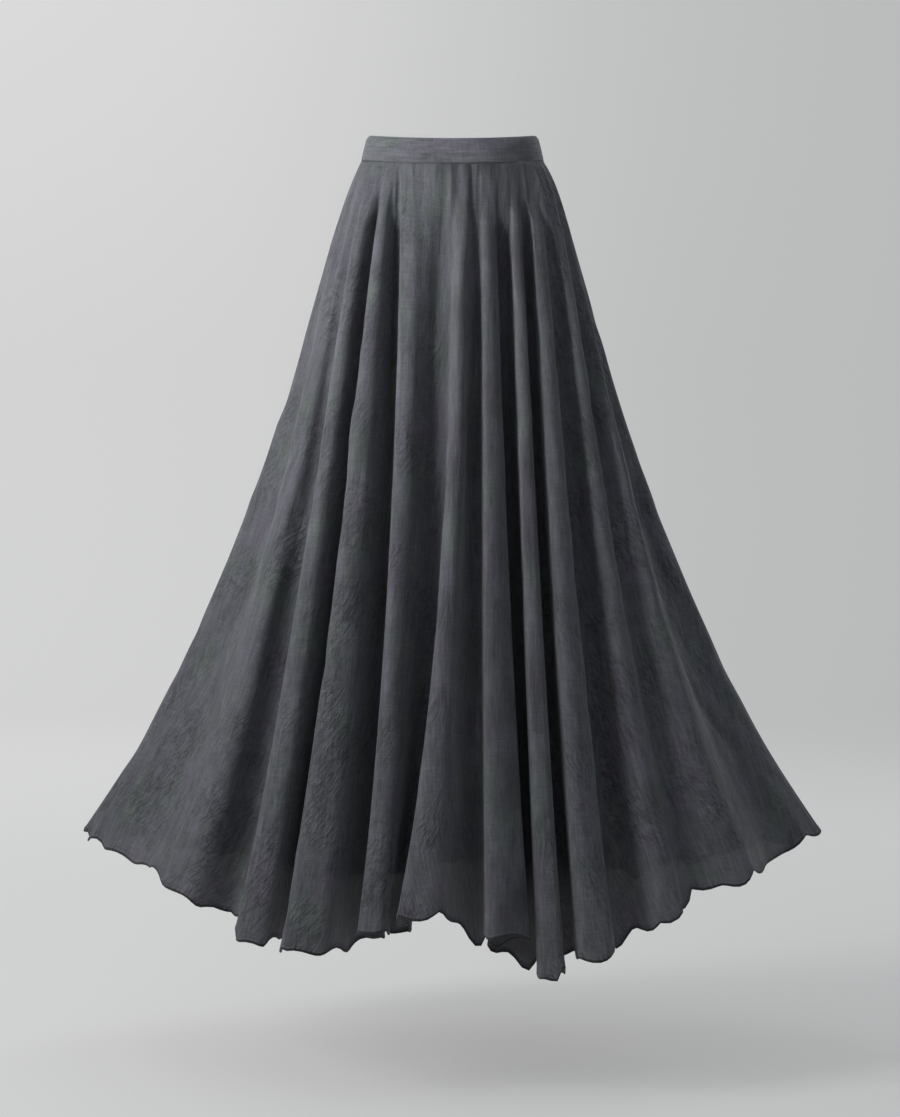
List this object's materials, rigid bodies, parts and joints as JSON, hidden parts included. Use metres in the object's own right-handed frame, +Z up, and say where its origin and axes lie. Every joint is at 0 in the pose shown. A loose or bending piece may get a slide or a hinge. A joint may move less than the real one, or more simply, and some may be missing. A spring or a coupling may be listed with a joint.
{
  "type": "pleated skirt",
  "caption": "Long flared linen skirt with a narrow flat waistband, deep loose folds and a wavy rolled hem, hollow and open at waist and hem.",
  "frame": {"origin": "middle of the waist opening, level with the top of the waistband at the sides, where the wearer's waist holds the skirt", "axes": "+Z up along the body, +X towards the wearer's left, the front faces -Y"},
  "size_m": [0.9726, 0.7519, 1.0642],
  "materials": {
    "skirt_linen": "matte, dark charcoal-grey linen with slubs",
    "band_linen": "matte, dark charcoal-grey linen, folded double"
  },
  "bodies": {
    "root": {"waistband_front": "band_linen", "waistband_back": "band_linen", "skirt_front": "skirt_linen", "skirt_back": "skirt_linen"}
  },
  "joints": []
}
